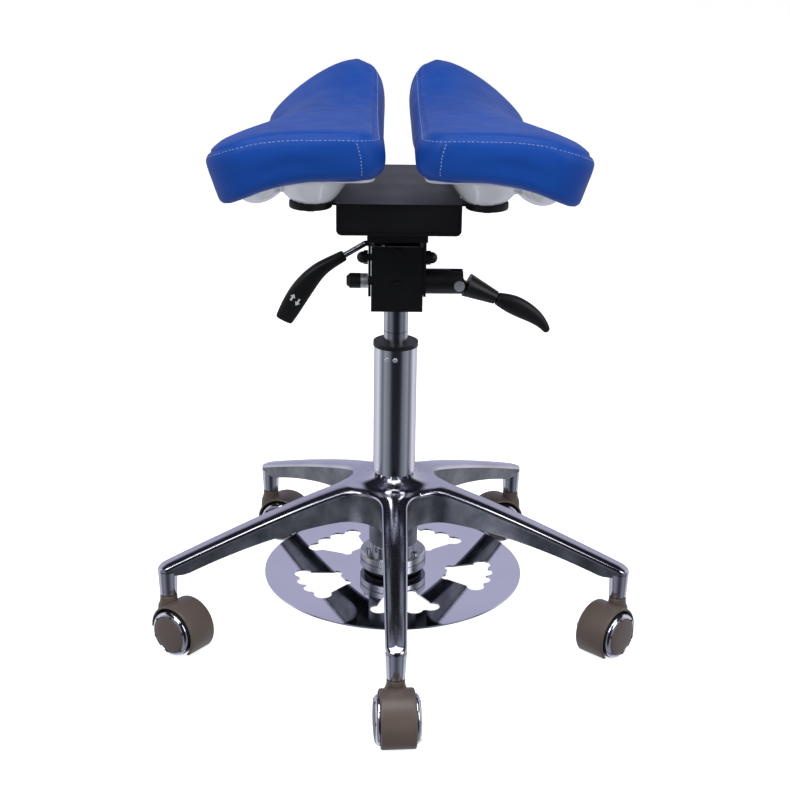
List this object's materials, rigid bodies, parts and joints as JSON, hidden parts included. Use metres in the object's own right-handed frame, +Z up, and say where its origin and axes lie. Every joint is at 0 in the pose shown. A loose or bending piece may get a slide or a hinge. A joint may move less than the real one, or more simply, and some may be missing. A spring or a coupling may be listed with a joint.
{
  "type": "saddle stool",
  "caption": "Rolling saddle stool: two-part padded seat on a tilting mechanism and gas lift, with a star base, twin-wheel casters and a tilting foot disc.",
  "frame": {"origin": "on the column's axis at floor level", "axes": "+Z up along the column, -Y toward the wide front end of the seat and the front arm of the base, +X to the tilt lever's side"},
  "size_m": [0.5654, 0.5768, 0.6497],
  "materials": {
    "base_aluminium": "polished top, as-cast sides",
    "chrome_tube": "mirror chrome plate",
    "chrome_disc": "mirror chrome plate",
    "zinc_steel": "bright zinc plate",
    "ground_steel": "ground and hard-chromed",
    "bearing_bronze": "sintered bronze",
    "black_bush": "moulded, satin",
    "black_rubber": "matt",
    "black_steel": "fine satin powder coat",
    "black_oxide": "black oxide",
    "lever_plastic": "fine moulded grain",
    "shell_white": "moulded, glossy",
    "seat_leather": "smooth grained upholstery leather",
    "caster_taupe": "moulded nylon, satin",
    "wheel_taupe": "moulded nylon, satin"
  },
  "bodies": {
    "base": {"star_base": "base_aluminium", "outer_tube": "chrome_tube", "guide_bush": "black_bush", "thrust_bearing": "ground_steel", "foot_collar": "zinc_steel", "collar_screws": "zinc_steel", "foot_rubber_ring": "black_rubber", "foot_stem": "zinc_steel", "stem_nut": "zinc_steel"},
    "tilt_washer": {"tilt_washer": "bearing_bronze"},
    "foot_disc": {"foot_disc": "chrome_disc"},
    "push_rod": {"push_rod": "ground_steel"},
    "swivel": {"piston_rod": "ground_steel", "rod_clip": "black_oxide"},
    "lift": {"gas_cylinder": "ground_steel", "taper_socket": "black_steel", "lower_bracket": "black_steel", "bracket_screws": "black_oxide", "rocker_pin": "ground_steel", "pivot_bolt": "black_oxide", "pivot_nuts": "black_oxide", "clamp_rod": "chrome_tube", "clamp_cap": "black_bush", "clamp_tube": "black_steel", "cam_screw": "chrome_tube"},
    "release_pin": {"release_pin": "ground_steel"},
    "height_lever": {"lever_rocker": "zinc_steel", "height_lever": "ground_steel", "height_grip": "lever_plastic"},
    "tilt_lever": {"cam_lever": "lever_plastic", "tilt_grip": "lever_plastic"},
    "seat": {"tilt_bracket": "black_steel", "seat_channel": "black_steel", "channel_plugs": "lever_plastic", "seat_pucks": "black_rubber", "seat_bolts": "zinc_steel", "left_shell": "shell_white", "right_shell": "shell_white", "left_cushion": "seat_leather", "right_cushion": "seat_leather"},
    "caster_1": {"caster_hood_1": "caster_taupe", "caster_pins_1": "ground_steel"},
    "wheel_a_1": {"wheel_a_1": "wheel_taupe"},
    "wheel_b_1": {"wheel_b_1": "wheel_taupe"},
    "caster_2": {"caster_hood_2": "caster_taupe", "caster_pins_2": "ground_steel"},
    "wheel_a_2": {"wheel_a_2": "wheel_taupe"},
    "wheel_b_2": {"wheel_b_2": "wheel_taupe"},
    "caster_3": {"caster_hood_3": "caster_taupe", "caster_pins_3": "ground_steel"},
    "wheel_a_3": {"wheel_a_3": "wheel_taupe"},
    "wheel_b_3": {"wheel_b_3": "wheel_taupe"},
    "caster_4": {"caster_hood_4": "caster_taupe", "caster_pins_4": "ground_steel"},
    "wheel_a_4": {"wheel_a_4": "wheel_taupe"},
    "wheel_b_4": {"wheel_b_4": "wheel_taupe"},
    "caster_5": {"caster_hood_5": "caster_taupe", "caster_pins_5": "ground_steel"},
    "wheel_a_5": {"wheel_a_5": "wheel_taupe"},
    "wheel_b_5": {"wheel_b_5": "wheel_taupe"}
  },
  "joints": [
    {"name": "seat_swivel", "type": "hinge", "parent": "base", "child": "swivel", "pos_m": [0, 0, 0.1], "axis": [0, 0, 1], "continuous": true},
    {"name": "seat_height", "type": "slide", "parent": "swivel", "child": "lift", "axis": [0, 0, 1], "range_m": [-0.03, 0.1]},
    {"name": "seat_tilt", "type": "hinge", "parent": "lift", "child": "seat", "pos_m": [0, -0.023, 0.453], "axis": [1, 0, 0], "range_deg": [-5, 12]},
    {"name": "height_release", "type": "hinge", "parent": "lift", "child": "height_lever", "pos_m": [-0.016, -0.008, 0.465], "axis": [0, 1, 0], "range_deg": [0, 12], "stiffness_Nm_per_rad": 2, "springref_deg": -8.59},
    {"name": "release_pin_slide", "type": "slide", "parent": "lift", "child": "release_pin", "axis": [0, 0, 1], "range_m": [-0.0042, 0]},
    {"name": "tilt_release", "type": "hinge", "parent": "lift", "child": "tilt_lever", "pos_m": [0.0696, -0.023, 0.4245], "axis": [0, -1, 0], "range_deg": [0, 25]},
    {"name": "disc_tilt_x", "type": "hinge", "parent": "base", "child": "tilt_washer", "pos_m": [0, 0, 0.057], "axis": [1, 0, 0], "range_deg": [-2.5, 2.5], "stiffness_Nm_per_rad": 60},
    {"name": "disc_tilt_y", "type": "hinge", "parent": "tilt_washer", "child": "foot_disc", "pos_m": [0, 0, 0.057], "axis": [0, 1, 0], "range_deg": [-2.5, 2.5], "stiffness_Nm_per_rad": 60},
    {"name": "push_rod_lift", "type": "slide", "parent": "base", "child": "push_rod", "axis": [0, 0, 1], "range_m": [0, 0.004], "stiffness_N_per_m": 600, "springref_m": -0.004},
    {"name": "caster_swivel_1", "type": "hinge", "parent": "base", "child": "caster_1", "pos_m": [0, -0.275, 0.07], "axis": [0, 0, 1], "continuous": true},
    {"name": "wheel_spin_a_1", "type": "hinge", "parent": "caster_1", "child": "wheel_a_1", "pos_m": [0.00146, -0.29595, 0.0275], "axis": [0.9976, 0.0698, 0], "continuous": true},
    {"name": "wheel_spin_b_1", "type": "hinge", "parent": "caster_1", "child": "wheel_b_1", "pos_m": [0.00146, -0.29595, 0.0275], "axis": [0.9976, 0.0698, 0], "continuous": true},
    {"name": "caster_swivel_2", "type": "hinge", "parent": "base", "child": "caster_2", "pos_m": [0.26154, -0.08498, 0.07], "axis": [0, 0, 1], "continuous": true},
    {"name": "wheel_spin_a_2", "type": "hinge", "parent": "caster_2", "child": "wheel_a_2", "pos_m": [0.24695, -0.10009, 0.0275], "axis": [0.7193, -0.6947, 0], "continuous": true},
    {"name": "wheel_spin_b_2", "type": "hinge", "parent": "caster_2", "child": "wheel_b_2", "pos_m": [0.24695, -0.10009, 0.0275], "axis": [0.7193, -0.6947, 0], "continuous": true},
    {"name": "caster_swivel_3", "type": "hinge", "parent": "base", "child": "caster_3", "pos_m": [0.16164, 0.22248, 0.07], "axis": [0, 0, 1], "continuous": true},
    {"name": "wheel_spin_a_3", "type": "hinge", "parent": "caster_3", "child": "wheel_a_3", "pos_m": [0.14191, 0.2153, 0.0275], "axis": [0.342, -0.9397, 0], "continuous": true},
    {"name": "wheel_spin_b_3", "type": "hinge", "parent": "caster_3", "child": "wheel_b_3", "pos_m": [0.14191, 0.2153, 0.0275], "axis": [0.342, -0.9397, 0], "continuous": true},
    {"name": "caster_swivel_4", "type": "hinge", "parent": "base", "child": "caster_4", "pos_m": [-0.16164, 0.22248, 0.07], "axis": [0, 0, 1], "continuous": true},
    {"name": "wheel_spin_a_4", "type": "hinge", "parent": "caster_4", "child": "wheel_a_4", "pos_m": [-0.14191, 0.2153, 0.0275], "axis": [0.342, 0.9397, 0], "continuous": true},
    {"name": "wheel_spin_b_4", "type": "hinge", "parent": "caster_4", "child": "wheel_b_4", "pos_m": [-0.14191, 0.2153, 0.0275], "axis": [0.342, 0.9397, 0], "continuous": true},
    {"name": "caster_swivel_5", "type": "hinge", "parent": "base", "child": "caster_5", "pos_m": [-0.26154, -0.08498, 0.07], "axis": [0, 0, 1], "continuous": true},
    {"name": "wheel_spin_a_5", "type": "hinge", "parent": "caster_5", "child": "wheel_a_5", "pos_m": [-0.24477, -0.09762, 0.0275], "axis": [0.6018, 0.7986, 0], "continuous": true},
    {"name": "wheel_spin_b_5", "type": "hinge", "parent": "caster_5", "child": "wheel_b_5", "pos_m": [-0.24477, -0.09762, 0.0275], "axis": [0.6018, 0.7986, 0], "continuous": true}
  ],
  "couplings": [
    {"joint": "release_pin_slide", "follows": "height_release", "m_per_rad": -0.018}
  ]
}
